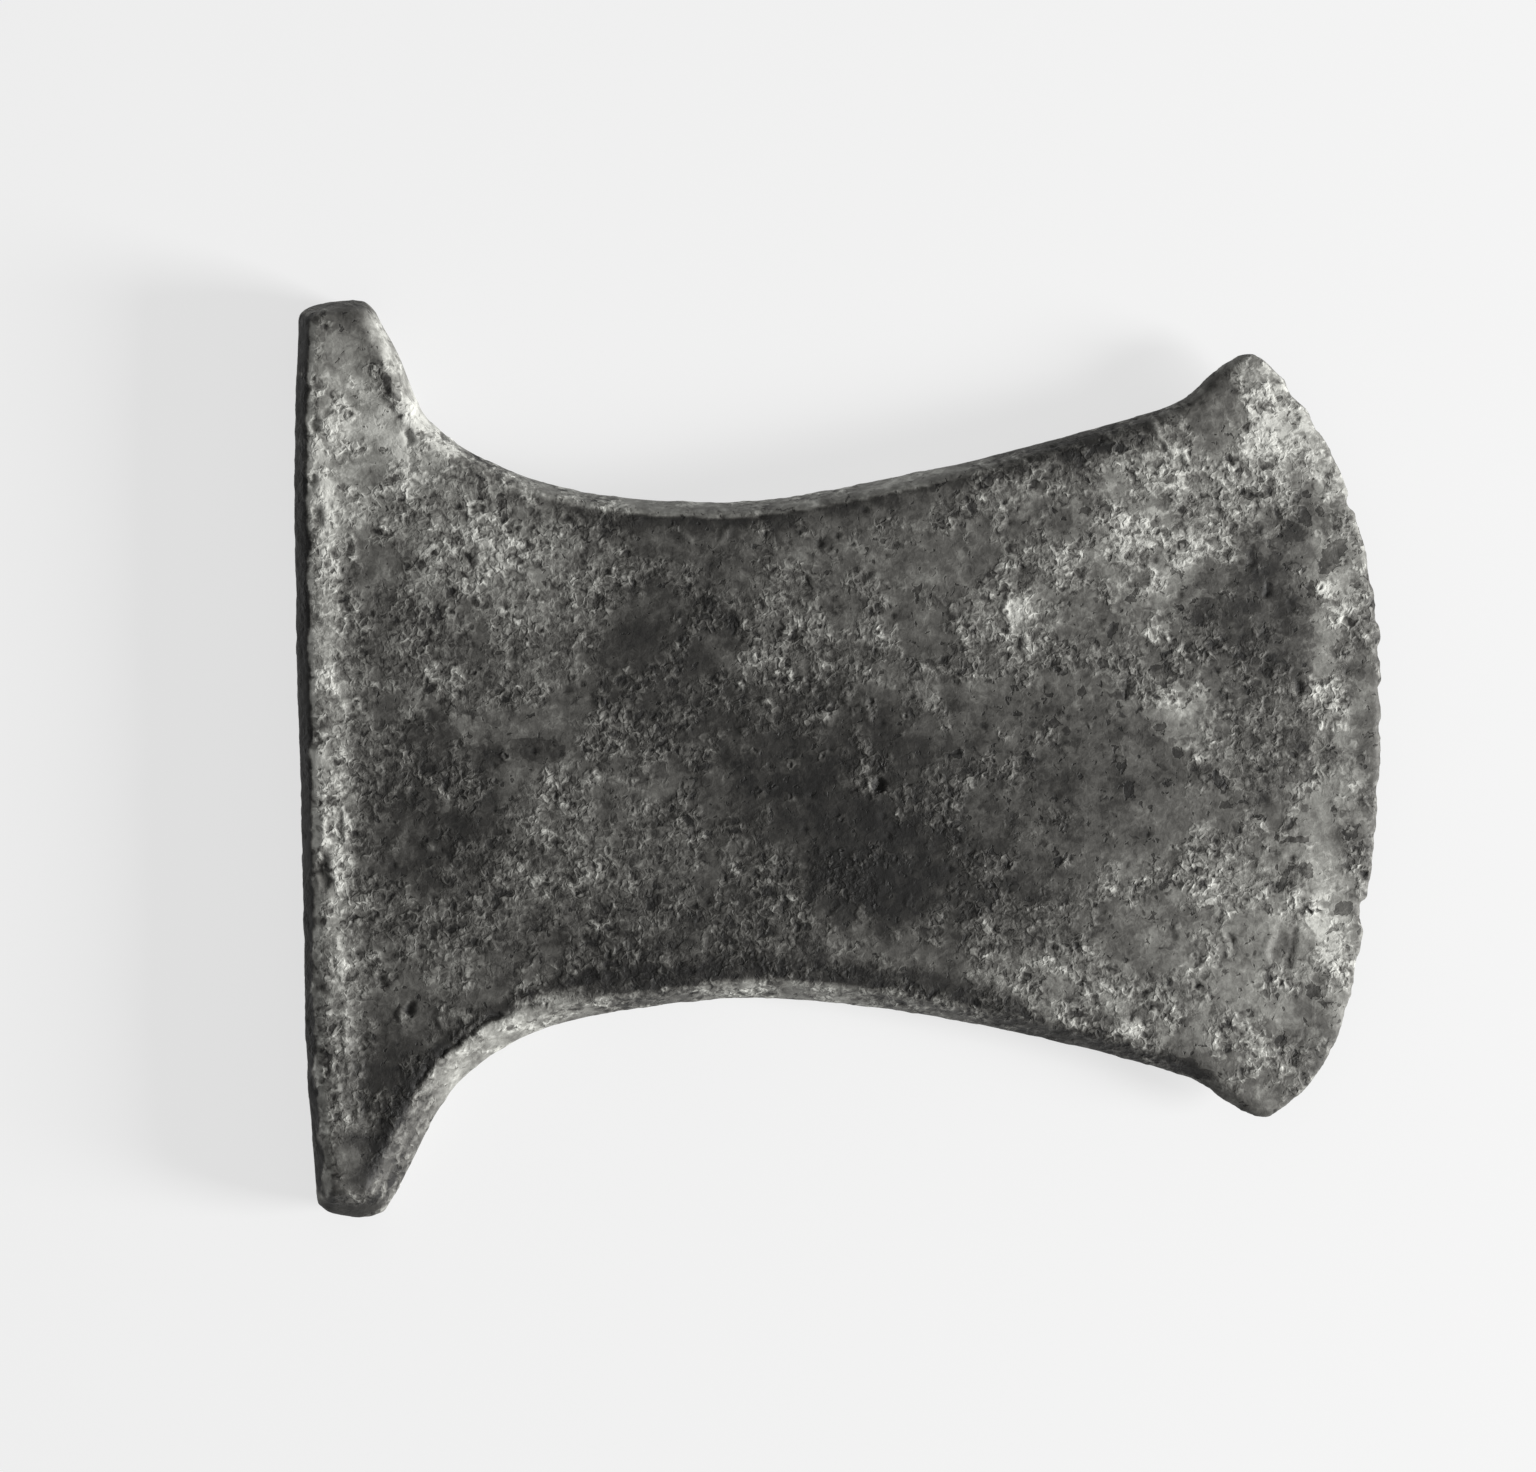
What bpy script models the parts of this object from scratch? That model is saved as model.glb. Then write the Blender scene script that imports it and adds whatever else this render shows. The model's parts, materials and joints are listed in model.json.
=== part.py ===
"""Cast copper-alloy axe blade with a lugged butt, a waisted body and a splayed cutting edge.

Metres, +Z up. The blade lies on its flat back: the butt faces -X, the cutting edge faces +X, and the origin
is on the ground under the middle of the blade. In plan, a point is a station, which is its distance from the
butt along the axis, and an offset across the axis. The side towards +Y is the upper side.
"""

import math
from collections import namedtuple

import bmesh
import bpy
import numpy as np

MM = 0.001

# Plan sizes
LENGTH = 130.0 * MM
BUTT_SPAN = 110.0 * MM  # over both lugs
BUTT_FLAT = 60.0 * MM  # the middle of the butt, which is straight and square to the axis
HEEL_STATION = 1.0 * MM  # where the butt has curved back to at each outer corner
HEEL_ROUNDING = 1.7 * MM  # how much the butt's outer corners are cut back from the lugs' ends
LUG_ROUNDING = 0.5 * MM  # the same for the lugs' other corners
UPPER_LUG_WIDTH = 9.6 * MM  # each lug's end, from the butt
LOWER_LUG_WIDTH = 8.6 * MM
FLANK_END = 22.0 * MM  # station where the steep part of the lugs' flanks ends
WAIST_STATION = 53.0 * MM
WAIST_WIDTH = 59.4 * MM
FLARE_LENGTH = 11.3 * MM  # the sides' last stretch, which turns out to the hammered tips
FLARE_WIDTH = 79.6 * MM  # where that stretch begins
EDGE_SPAN = 92.0 * MM  # from tip to tip of the cutting edge
EDGE_SWEEP = 14.7 * MM  # how far both tips lie behind the foremost point of the cutting edge
EDGE_APEX = 9.0 * MM  # offset of that foremost point
TIP_SHIFT = 0.4 * MM  # how far the hammered edge sits to the upper side of the axis
TIP_STATION = LENGTH - EDGE_SWEEP
FLARE_STATION = TIP_STATION - FLARE_LENGTH

# Thickness
THICKNESS = 9.5 * MM
EDGE_THICKNESS = 1.2 * MM
TAPER_LENGTH = 60.0 * MM  # from the cutting edge back to full thickness
TAPER_POWER = 1.8  # above 1 the taper is convex, and steepest at the cutting edge

# Border of each face: a slope up from the outline, and a rounded shoulder between the slope and the face
BUTT_LIP = 1.1 * MM  # width of the slope in plan
UPPER_LIP = 1.0 * MM
LOWER_LIP = 1.5 * MM
LOWER_LUG_LIP = 2.7 * MM  # wider, where the lower side curves into its lug
LUG_LIP_END = 34.0 * MM  # station where that wider slope has narrowed again
BACK_LIP = 1.0 * MM
SHOULDER = 1.2 * MM  # width of the shoulder in plan
EDGE_LIP = 0.3 * MM  # slope and shoulder at the cutting edge
EDGE_FADE = 14.0 * MM  # over this distance the sides' borders narrow towards the cutting edge
CORNER_BLEND = 3.7 * MM  # length of outline over which borders and their directions blend at a corner

# Raised ridge along the butt, on the upper face
RIDGE_HEIGHT = 0.7 * MM
RIDGE_CREST = 2.4 * MM  # distance of its top from the butt
RIDGE_FALL = 5.0 * MM  # from its top down to the face

# Half heights of the upright band along the outline, as shares of the half thickness
SIDE_BAND = 0.12
BUTT_BAND = 0.55
EDGE_BAND = 0.3

# Profile of a border, as (place, share of the rise above the band): from place 0 to 1 it is the slope, and
# from place 1 to 2 the shoulder
BORDER_PROFILE = ((0.4, 0.35), (1.0, 0.78), (1.45, 0.94), (2.0, 1.0))

# Shape of each side between its driving sizes, as (share of the way along, share of the way out)
UPPER_FLANK = (
    (0.025, 0.92),
    (0.07, 0.77),
    (0.14, 0.46),
    (0.19, 0.37),
    (0.35, 0.195),
    (0.47, 0.115),
    (0.61, 0.055),
    (0.82, 0.01),
)
LOWER_FLANK = (
    (0.023, 0.95),
    (0.068, 0.81),
    (0.155, 0.52),
    (0.20, 0.41),
    (0.245, 0.33),
    (0.36, 0.195),
    (0.51, 0.097),
    (0.70, 0.04),
)
UPPER_FLARE_POWER = 1.38  # how the half width grows from the waist to the flare
LOWER_FLARE_POWER = 1.6
TIP_FLANK = ((0.18, 0.12), (0.35, 0.29), (0.53, 0.58), (0.70, 0.79), (0.86, 0.95))
UPPER_EDGE_ARC = 0.82  # share of the cutting edge's sweep that is a plain arc; the rest is at its corner
LOWER_EDGE_ARC = 0.55
EDGE_CORNER_POWER = 12.0

# Mesh density, as the number of steps
FLANK_ROWS = 22
WAIST_ROWS = 25
TIP_ROWS = 8
COLUMNS = 26
END_CROWDING = 0.6  # how much closer the columns stand at the two sides than in the middle

PATINA_COLOUR = (0.095, 0.092, 0.082, 1.0)
PATINA_ROUGHNESS = 0.72
PATINA_METALLIC = 0.35

Side = namedtuple("Side", "sign lug_width flank flare_power tip edge_arc")
UPPER = Side(1, UPPER_LUG_WIDTH, UPPER_FLANK, UPPER_FLARE_POWER, EDGE_SPAN / 2 + TIP_SHIFT, UPPER_EDGE_ARC)
LOWER = Side(-1, LOWER_LUG_WIDTH, LOWER_FLANK, LOWER_FLARE_POWER, EDGE_SPAN / 2 - TIP_SHIFT, LOWER_EDGE_ARC)


def spread(start, end, count):
    """Evenly spaced values from the start up to, but without, the end."""
    return [start + (end - start) * step / count for step in range(count)]


def curve_value(points, position):
    """Height at a position of the smooth curve through the points, which never overshoots them."""
    xs, ys = zip(*points)
    position = min(max(position, xs[0]), xs[-1])
    steps = [b - a for a, b in zip(xs, xs[1:])]
    slopes = [(b - a) / step for a, b, step in zip(ys, ys[1:], steps)]
    tangents = [slopes[0]]
    for before, after in zip(slopes, slopes[1:]):
        same_way = before * after > 0
        tangents.append(2 * before * after / (before + after) if same_way else 0.0)
    tangents.append(slopes[-1])
    index = next(i for i in range(len(steps)) if position <= xs[i + 1])
    step = steps[index]
    t = (position - xs[index]) / step
    start, end = ys[index], ys[index + 1]
    leave, arrive = tangents[index] * step, tangents[index + 1] * step
    swing = 2 * (start - end) + leave + arrive
    bend = 3 * (end - start) - 2 * leave - arrive
    return ((swing * t + bend) * t + leave) * t + start


def side_points(side):
    """One side's outline as (station, half width), from the butt's corner to the cutting edge's tip."""
    lug, waist, flare = BUTT_SPAN / 2, WAIST_WIDTH / 2, FLARE_WIDTH / 2
    lug_end = side.lug_width - HEEL_STATION
    points = [
        (HEEL_STATION, lug - HEEL_ROUNDING),
        (HEEL_STATION + 0.08 * lug_end, lug - 0.55 * HEEL_ROUNDING),
        (HEEL_STATION + 0.3 * lug_end, lug - 0.2 * HEEL_ROUNDING),
        (HEEL_STATION + 0.7 * lug_end, lug),
        (side.lug_width, lug - LUG_ROUNDING),
    ]
    for along, out in side.flank:
        station = side.lug_width + along * (WAIST_STATION - side.lug_width)
        points.append((station, waist + out * (lug - LUG_ROUNDING - waist)))
    for along in spread(0.0, 1.0, 5):
        station = WAIST_STATION + along * (FLARE_STATION - WAIST_STATION)
        points.append((station, waist + along**side.flare_power * (flare - waist)))
    points.append((FLARE_STATION, flare))
    for along, out in TIP_FLANK:
        station = FLARE_STATION + along * (TIP_STATION - FLARE_STATION)
        points.append((station, flare + out * (side.tip - flare)))
    points.append((TIP_STATION, side.tip))
    return points


def side_line(side):
    """Plan points of the mesh along one side, with more rows where the outline turns most."""
    points = side_points(side)
    stations = np.linspace(HEEL_STATION, TIP_STATION, 2001)
    halves = np.array([curve_value(points, station) for station in stations])
    travelled = np.concatenate([[0.0], np.cumsum(np.hypot(np.diff(stations), np.diff(halves)))])
    flank_end, flare = np.interp((FLANK_END, FLARE_STATION), stations, travelled)
    stops = (
        spread(0.0, flank_end, FLANK_ROWS)
        + spread(flank_end, flare, WAIST_ROWS)
        + spread(flare, travelled[-1], TIP_ROWS)
        + [travelled[-1]]
    )
    return np.column_stack([
        np.interp(stops, travelled, stations),
        side.sign * np.interp(stops, travelled, halves),
    ])


def butt_setback(across):
    """How far the butt has curved back from its flat middle, at an offset across the axis."""
    corner = BUTT_SPAN / 2 - HEEL_ROUNDING
    past_flat = max(abs(across) - BUTT_FLAT / 2, 0.0)
    share = min(past_flat / (corner - BUTT_FLAT / 2), 1.0)
    return HEEL_STATION * share**1.5


def edge_station(across):
    """Station of the cutting edge, which sweeps back from its apex to a quicker bend at each tip."""
    side = UPPER if across > EDGE_APEX else LOWER
    reach = side.tip - side.sign * EDGE_APEX
    share = min(abs(across - EDGE_APEX) / reach, 1.0)
    sweep = side.edge_arc * share**2 + (1 - side.edge_arc) * share**EDGE_CORNER_POWER
    return LENGTH - EDGE_SWEEP * sweep


def cross_shares():
    """Places of the mesh's columns from the upper side, 0, to the lower, 1, closer together at both."""
    shares = [step / COLUMNS for step in range(COLUMNS + 1)]
    return np.array([s - END_CROWDING * math.sin(2 * math.pi * s) / (2 * math.pi) for s in shares])


def outline_loop():
    """The outline as one closed run of plan points: butt, lower side, cutting edge, upper side."""
    heel = BUTT_SPAN / 2 - HEEL_ROUNDING
    butt = [(butt_setback(y), y) for y in heel * (1 - 2 * cross_shares())]
    edge = [(edge_station(y), y) for y in UPPER.tip - EDGE_SPAN * cross_shares()]
    return np.concatenate([butt, side_line(LOWER)[1:], edge[-2::-1], side_line(UPPER)[-2:0:-1]])


def lower_side_lip(station):
    """Width of the slope along the lower side of the upper face."""
    share = min(max(station - LOWER_LUG_WIDTH, 0.0) / (LUG_LIP_END - LOWER_LUG_WIDTH), 1.0)
    return LOWER_LUG_LIP + share * share * (3 - 2 * share) * (LOWER_LIP - LOWER_LUG_LIP)


def border_sizes(outline, is_back):
    """Slope width, shoulder width and band share at each point of the outline, for one face."""
    sizes = []
    for index, (station, across) in enumerate(outline):
        fade = min(max(edge_station(across) - station, 0.0) / EDGE_FADE, 1.0)
        side_lip = UPPER_LIP if across > 0 else lower_side_lip(station)
        if index <= COLUMNS:
            lip, band = BUTT_LIP, BUTT_BAND
        elif fade > 0:
            lip, band = side_lip, SIDE_BAND
        else:
            lip, band = EDGE_LIP, EDGE_BAND
        lip = BACK_LIP if is_back else lip
        sizes.append((EDGE_LIP + fade * (lip - EDGE_LIP), EDGE_LIP + fade * (SHOULDER - EDGE_LIP), band))
    return np.array(sizes)


def border_rings(outline, is_back):
    """Rings of plan points with their shares of the half thickness, from the outline in to the face."""
    after, before = np.roll(outline, -1, axis=0), np.roll(outline, 1, axis=0)
    along = (after - before) / np.linalg.norm(after - before, axis=1)[:, None]
    inward = np.column_stack([-along[:, 1], along[:, 0]])
    lengths = np.linalg.norm(after - outline, axis=1)
    place = np.cumsum(lengths) - lengths
    apart = np.abs(place[:, None] - place[None, :])
    apart = np.minimum(apart, lengths.sum() - apart)
    weights = np.exp(-0.5 * (apart / CORNER_BLEND) ** 2) * (lengths + np.roll(lengths, 1))
    weights /= weights.sum(axis=1)[:, None]
    turned = weights @ inward
    turned /= (turned * inward).sum(axis=1)[:, None]
    lip, shoulder, band = (weights @ border_sizes(outline, is_back)).T
    rings = [(outline, band)]
    for at, rise in BORDER_PROFILE:
        distance = min(at, 1.0) * lip + max(at - 1.0, 0.0) * shoulder
        rings.append((outline + turned * distance[:, None], band + (1 - band) * rise))
    return rings


def face_grid(ring):
    """Plan points of a face's mesh, in rows from butt to edge, spanned between its border's four sides."""
    rows = FLANK_ROWS + WAIST_ROWS + TIP_ROWS
    butt = ring[: COLUMNS + 1]
    lower = ring[COLUMNS : COLUMNS + rows + 1]
    edge = ring[COLUMNS + rows : 2 * COLUMNS + rows + 1][::-1]
    upper = np.concatenate([ring[2 * COLUMNS + rows :], ring[:1]])[::-1]
    middle = (upper[:, 0] + lower[:, 0]) / 2
    v = ((middle - middle[0]) / (middle[-1] - middle[0]))[:, None, None]
    w = cross_shares()[None, :, None]
    between_ends = (1 - v) * butt[None] + v * edge[None]
    between_sides = (1 - w) * upper[:, None] + w * lower[:, None]
    corners = (1 - v) * ((1 - w) * butt[0] + w * butt[-1]) + v * ((1 - w) * edge[0] + w * edge[-1])
    return between_ends + between_sides - corners


def half_thickness(station, across):
    """Half the blade's thickness at a place in plan, which falls towards the cutting edge."""
    to_edge = min(max(edge_station(across) - station, 0.0) / TAPER_LENGTH, 1.0)
    grown = 1 - (1 - to_edge) ** TAPER_POWER
    return (EDGE_THICKNESS + (THICKNESS - EDGE_THICKNESS) * grown) / 2


def butt_ridge(station, across):
    """Height of the ridge that stands along the butt."""
    share = min(max(station - butt_setback(across) - RIDGE_CREST, 0.0) / RIDGE_FALL, 1.0)
    return RIDGE_HEIGHT * (1 - share) ** 2 * (1 + 2 * share)


def place_in_space(point, share, is_back):
    """World position of a plan point on one face, at a share of the half thickness."""
    station, across = point
    height = half_thickness(station, across) * share
    if is_back:
        return (station - LENGTH / 2, across, THICKNESS / 2 - height)
    ridge = butt_ridge(station, across) * max(share - BUTT_BAND, 0.0) / (1 - BUTT_BAND)
    return (station - LENGTH / 2, across, THICKNESS / 2 + height + ridge)


def add_face(bm, slot, is_back):
    """One face of the blade: a grid shaped to its plan, with its border extruded in rings to the outline."""
    rings = border_rings(outline_loop(), is_back)
    grid = face_grid(rings[-1][0])
    rows, columns = grid.shape[0] - 1, grid.shape[1] - 1
    made = bmesh.ops.create_grid(bm, x_segments=rows, y_segments=columns, size=1.0)
    for vertex in made["verts"]:
        row = round((vertex.co.x + 1) / 2 * rows)
        column = round((1 - vertex.co.y) / 2 * columns)
        vertex[slot] = loop_index(row, column, rows, columns)
        vertex.co = place_in_space(grid[row, column], 1.0, is_back)
    border = {edge for vertex in made["verts"] for edge in vertex.link_edges if edge.is_boundary}
    for points, shares in rings[-2::-1]:
        made = bmesh.ops.extrude_edge_only(bm, edges=list(border))["geom"]
        for vertex in (item for item in made if isinstance(item, bmesh.types.BMVert)):
            index = vertex[slot]
            vertex.co = place_in_space(points[index], shares[index], is_back)
        border = {item for item in made if isinstance(item, bmesh.types.BMEdge) and item.is_boundary}
    return border


def loop_index(row, column, rows, columns):
    """Place in the outline's loop of a grid point on the border, and -1 for one inside it."""
    if row == 0:
        return column
    if column == columns:
        return columns + row
    if row == rows:
        return 2 * columns + rows - column
    if column == 0:
        return 2 * (columns + rows) - row
    return -1


def blade_mesh():
    """The whole blade as one closed mesh: its two faces, joined by the upright band along the outline."""
    bm = bmesh.new()
    slot = bm.verts.layers.int.new("slot")
    border = add_face(bm, slot, False) | add_face(bm, slot, True)
    bmesh.ops.bridge_loops(bm, edges=list(border))
    bmesh.ops.recalc_face_normals(bm, faces=bm.faces)
    mesh = bpy.data.meshes.new("axe_blade")
    bm.to_mesh(mesh)
    bm.free()
    mesh.attributes.remove(mesh.attributes["slot"])
    mesh.shade_smooth()
    mesh.set_sharp_from_angle(angle=math.radians(40))
    return mesh


def patina_material():
    material = bpy.data.materials.new("bronze_patina")
    material.use_nodes = True
    shader = material.node_tree.nodes["Principled BSDF"]
    shader.inputs["Base Color"].default_value = PATINA_COLOUR
    shader.inputs["Roughness"].default_value = PATINA_ROUGHNESS
    shader.inputs["Metallic"].default_value = PATINA_METALLIC
    return material


def clear_scene():
    for item in list(bpy.data.objects):
        bpy.data.objects.remove(item)


def main():
    clear_scene()
    collection = bpy.data.collections.new("axe_blade")
    bpy.context.scene.collection.children.link(collection)
    blade = bpy.data.objects.new("axe_blade", blade_mesh())
    blade.data.materials.append(patina_material())
    collection.objects.link(blade)


main()
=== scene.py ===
"""Looks of the corroded copper-alloy axe blade.

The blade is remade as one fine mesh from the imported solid: its facets are smoothed, and corrosion, pits,
chips and cracks are worked into it. The row frame is metres, +X from the butt to the cutting edge, +Z up,
with the blade lying on its back. Places on the blade are written in millimetres of that frame.
"""

import json
import math
from collections import namedtuple

import bmesh
import bpy
import numpy as np
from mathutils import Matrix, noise
from mathutils.kdtree import KDTree

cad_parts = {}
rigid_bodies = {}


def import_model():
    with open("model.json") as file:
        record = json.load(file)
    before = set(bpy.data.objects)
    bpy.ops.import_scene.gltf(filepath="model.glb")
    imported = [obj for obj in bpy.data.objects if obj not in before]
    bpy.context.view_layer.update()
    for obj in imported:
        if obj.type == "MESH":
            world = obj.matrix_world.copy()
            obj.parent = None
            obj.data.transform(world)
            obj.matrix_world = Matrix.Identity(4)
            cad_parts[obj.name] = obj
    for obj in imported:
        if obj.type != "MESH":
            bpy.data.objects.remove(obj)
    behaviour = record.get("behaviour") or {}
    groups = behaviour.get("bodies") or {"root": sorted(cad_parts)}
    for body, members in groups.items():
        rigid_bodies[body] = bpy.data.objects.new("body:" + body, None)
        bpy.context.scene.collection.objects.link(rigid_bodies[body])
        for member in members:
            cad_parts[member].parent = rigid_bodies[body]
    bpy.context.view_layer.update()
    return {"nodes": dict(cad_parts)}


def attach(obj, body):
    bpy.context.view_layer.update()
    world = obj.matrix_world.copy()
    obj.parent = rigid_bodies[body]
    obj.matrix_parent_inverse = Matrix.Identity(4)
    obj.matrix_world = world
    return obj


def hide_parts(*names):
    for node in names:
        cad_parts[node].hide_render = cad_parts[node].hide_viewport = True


MM = 0.001
NODE = "axe_blade"

# Camera: straight above, turned as the blade lies in the photograph, with a very long lens
PICTURE_WIDTH = 184.9 * MM
PICTURE_CENTRE = (-8.8 * MM, 1.6 * MM)
PICTURE_TURN = -1.216  # degrees
CAMERA_HEIGHT = 2.0
SENSOR = 36.0

# Light: a broad lamp low on the right, slightly towards the photograph's lower edge, and a white room
KEY_AZIMUTH = -12.0  # degrees from +X
KEY_ELEVATION = 19.0  # degrees above the floor
KEY_DISTANCE = 1.2
KEY_SIZE = 0.36
KEY_POWER = 26.0
ROOM_STRENGTH = 0.26
FLOOR_SIZE = 6.0
FLOOR_COLOUR = (0.24, 0.24, 0.24, 1.0)
FLOOR_GLOW = 0.68

# Fine mesh
VOXEL = 0.38 * MM
SMOOTHING_STEPS = 4
MOST_TRIANGLES = 196000
BACK_HEIGHT = 4.2  # mm, below which the mesh may be coarser where it doesn't face up

# Relief of the corroded surface, in mm
WAVE_HEIGHT = 0.14
SHORT_WAVE_HEIGHT = 0.06
PLATE_HEIGHT = 0.07
GRAIN_HEIGHT = 0.03
BARE_GRAIN_HEIGHT = 0.012
SMALL_PIT_DEPTH = 0.2
SMALL_PIT_SPACING = 1.5
SMALL_PIT_SHARE = 0.1  # of the places that are SMALL_PIT_SPACING apart
SCALLOP_DEPTH = 0.22
BITE_REACH = 1.8  # how far in from the outline a bite still moves the surface

# Border of the blade, painted light and shade: how much paler or darker each part is, in steps of the
# patina's ramp
# painted shade on the butt's end face, which faces away from the lamp, and painted light on the lip inside it
BUTT_END_PAINTED_SHADE = -0.75
BUTT_LIP_PAINTED_LIGHT = 0.26
# towards +Y: painted shade on the lug's end face and the waist's shoulder, which face away from the lamp, a
# painted highlight on the lug's flank, which faces it, and a painted reflection of the bright floor on the
# waist's lip
UPPER_END_PAINTED_SHADE = -0.14
UPPER_FLANK_PAINTED_HIGHLIGHT = 0.24
UPPER_LIP_PAINTED_REFLECTION = 0.28
UPPER_SHOULDER_PAINTED_SHADE = -0.30
# towards -Y: painted shade on the lug's end face, in the crease, on the waist's shoulder and on the flare, a
# painted highlight on the lug's lip, which faces the lamp, and a painted reflection of the bright floor on
# the waist's lip
LOWER_END_PAINTED_SHADE = -0.25
LOWER_LUG_PAINTED_HIGHLIGHT = 0.26
LOWER_CREASE_PAINTED_SHADE = -0.34
LOWER_LIP_PAINTED_REFLECTION = 0.20
LOWER_SHOULDER_PAINTED_SHADE = -0.34
LOWER_FLARE_PAINTED_SHADE = -0.28

# How strongly the tone areas and the lumps of crust show in the patina's tone; the lumps and crests are made
# paler partly as pale crust and partly as a painted highlight on their raised tops
TONE_STRENGTH = 1.5
LUMP_PALENESS_AND_PAINTED_HIGHLIGHT = 0.9

# How softly marks end, as a share of their reach
HOLE_SOFTNESS = 0.45
LUMP_SOFTNESS = 0.5
CHIP_SOFTNESS = 0.5
ROUGH_SOFTNESS = 0.5
TONE_SOFTNESS = 0.6
PATCH_SOFTNESS = 0.7

# Patina: its ramp from dark to pale, and the place on the ramp where it starts from
PATINA = (
    (0.0, (0.010, 0.0095, 0.0085, 1)),
    (0.25, (0.033, 0.0315, 0.028, 1)),
    (0.5, (0.106, 0.103, 0.094, 1)),
    (0.75, (0.250, 0.248, 0.228, 1)),
    (1.0, (0.560, 0.560, 0.520, 1)),
)
PATINA_BASE = 0.44
# How much each feature of the surface lightens or darkens the patina, in steps of its ramp: the darkening of
# hollows, dents and blister pits is painted shade, and the paleness of strands, crumbs and blister rims
# partly pale crust and partly painted highlight
PALENESS_AND_PAINTED_SHADING = {
    "roughness": 0.60,
    "mottle": 1.0,
    "pale_patches": 0.17,
    "blotches": -0.20,
    "spots_and_specks": -0.28,
    # blister rims paler, partly pale crust and partly painted highlight
    "blister_rims": 0.12,
    # painted shade in the blister pits
    "blister_pits": -0.15,
    # strands paler, partly pale crust and partly painted highlight
    "strands": 0.11,
    # painted shade in the dents between the strands
    "dents": -0.31,
    # crumbs paler, partly pale crust and partly painted highlight
    "crumbs": 0.21,
    # painted shade in the hollows: pits and cracks
    "hollows": -0.22,
}
# How far each feature stands out of the surface, in shares of BUMP_HEIGHT
PROUDNESS = {
    "blister_rims": 0.6,
    "blister_pits": -0.6,
    "strands": 0.35,
    "dents": -0.35,
    "crumbs": 0.5,
    "roughness": 1.0,
    "mottle": 0.6,
    "spots": -0.3,
}
BUMP_HEIGHT = 0.16 * MM
WOBBLE = 0.8  # mm
BLISTERS_PER_MM = 0.50
BLISTER_SHARE = 0.45  # of the cells where one could be, in full crust

# A soft oval mark: middle, half length and half width in mm, turn in degrees from +X, and an amount
Mark = namedtuple("Mark", "x y length width turn amount")

# Soft areas of the upper face that are paler or, below 0, darker
TONES = (
    # the butt's pale strip and the two lugs
    Mark(-61.5, 2, 2.0, 34, 0, 0.20),
    Mark(-59.5, 40, 6.5, 13, 0, 0.20),
    Mark(-51.0, 38, 5.5, 4.5, -50, 0.22),
    Mark(-54.0, -42, 5, 10, 0, -0.20),
    Mark(-57.0, -50, 3.5, 3.5, 0, -0.16),
    # the pale crust below the upper lug, and the dark ground beside the butt
    Mark(-44.0, 25, 14, 7, -20, 0.13),
    Mark(-49.0, -8, 9, 12, 0, -0.15),
    # the dark belt over the middle, down to the lower edge
    Mark(-21.0, 12, 8, 9, -50, -0.14),
    Mark(-2.0, -2, 18, 9, -10, -0.17),
    Mark(7.0, -15, 15, 7, -10, -0.22),
    Mark(-20.0, -22, 20, 5, 4, -0.11),
    Mark(29.0, -5, 12, 7, 0, -0.07),
    Mark(-20.0, 25, 15, 4, -5, -0.05),
    # paler crust in the middle of the body
    Mark(6.0, 25, 11, 5, 8, 0.04),
    Mark(21.5, 15.5, 5, 4, 0, 0.10),
    Mark(27.0, -30, 8, 4, -15, 0.10),
    # the pale ground of the two flares and of the cutting edge
    Mark(42.0, 29, 15, 7, 30, 0.15),
    Mark(54.0, 40, 5, 9, 20, 0.17),
    Mark(60.0, 14, 3.5, 20, -5, 0.14),
    Mark(41.0, 5.5, 4, 3, 0, 0.10),
    Mark(48.0, -24, 14, 12, 0, 0.12),
    Mark(57.5, -17, 3, 14, 10, 0.14),
)

# Pale patches and dark blotches with ragged, fairly sharp borders: the amount is their strength
PALE_PATCHES = (
    Mark(35.6, 32.6, 4.2, 2.0, 12, 1.0),
    Mark(41.5, 19.5, 9.0, 3.6, 32, 0.9),
    Mark(35.0, 24.5, 5.0, 3.0, 20, 0.7),
    Mark(41.0, 3.2, 4.6, 3.4, -10, 1.0),
    Mark(36.8, 14.2, 3.2, 2.2, 0, 0.8),
    Mark(60.2, 17.6, 2.6, 3.2, 0, 1.0),
    Mark(59.5, 30.0, 2.0, 4.0, 20, 0.8),
    Mark(53.0, 39.0, 4.0, 6.5, 30, 0.55),
    Mark(50.6, 35.8, 3.5, 2.0, -30, 0.8),
    Mark(48.0, -37.5, 3.6, 4.4, 0, 0.45),
    Mark(58.0, -24.0, 2.0, 5.0, 15, 0.8),
    Mark(61.3, -6.5, 2.0, 7.0, 0, 0.7),
    Mark(-43.6, 2.8, 4.0, 1.6, -30, 0.7),
    Mark(-48.9, 36.2, 3.6, 2.8, -35, 1.0),
    Mark(-48.0, -5.5, 0.9, 3.4, 10, 0.7),
    Mark(21.6, 15.2, 1.6, 2.4, 15, 0.9),
)
BLOTCHES = (
    Mark(50.2, 14.6, 6.2, 10.6, 10, 1.0),
    Mark(46.0, 17.0, 4.5, 2.6, 40, 0.8),
    Mark(61.3, 11.0, 1.8, 5.2, 0, 0.9),
    Mark(54.5, 24.9, 1.6, 1.3, 0, 1.0),
    Mark(54.3, -2.0, 5.5, 5.0, 0, 0.7),
    Mark(32.2, 36.2, 8.0, 1.8, 14, 0.9),
    Mark(-38.0, 0.3, 6.0, 1.8, 0, 0.7),
    Mark(2.5, -16.0, 9.0, 3.6, -12, 0.7),
    Mark(-14.5, 17.2, 1.0, 3.0, 50, 1.0),
    Mark(-6.0, -3.0, 8.0, 4.0, 0, 0.6),
    Mark(41.3, -39.4, 3.0, 0.9, -24, 1.0),
)

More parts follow.
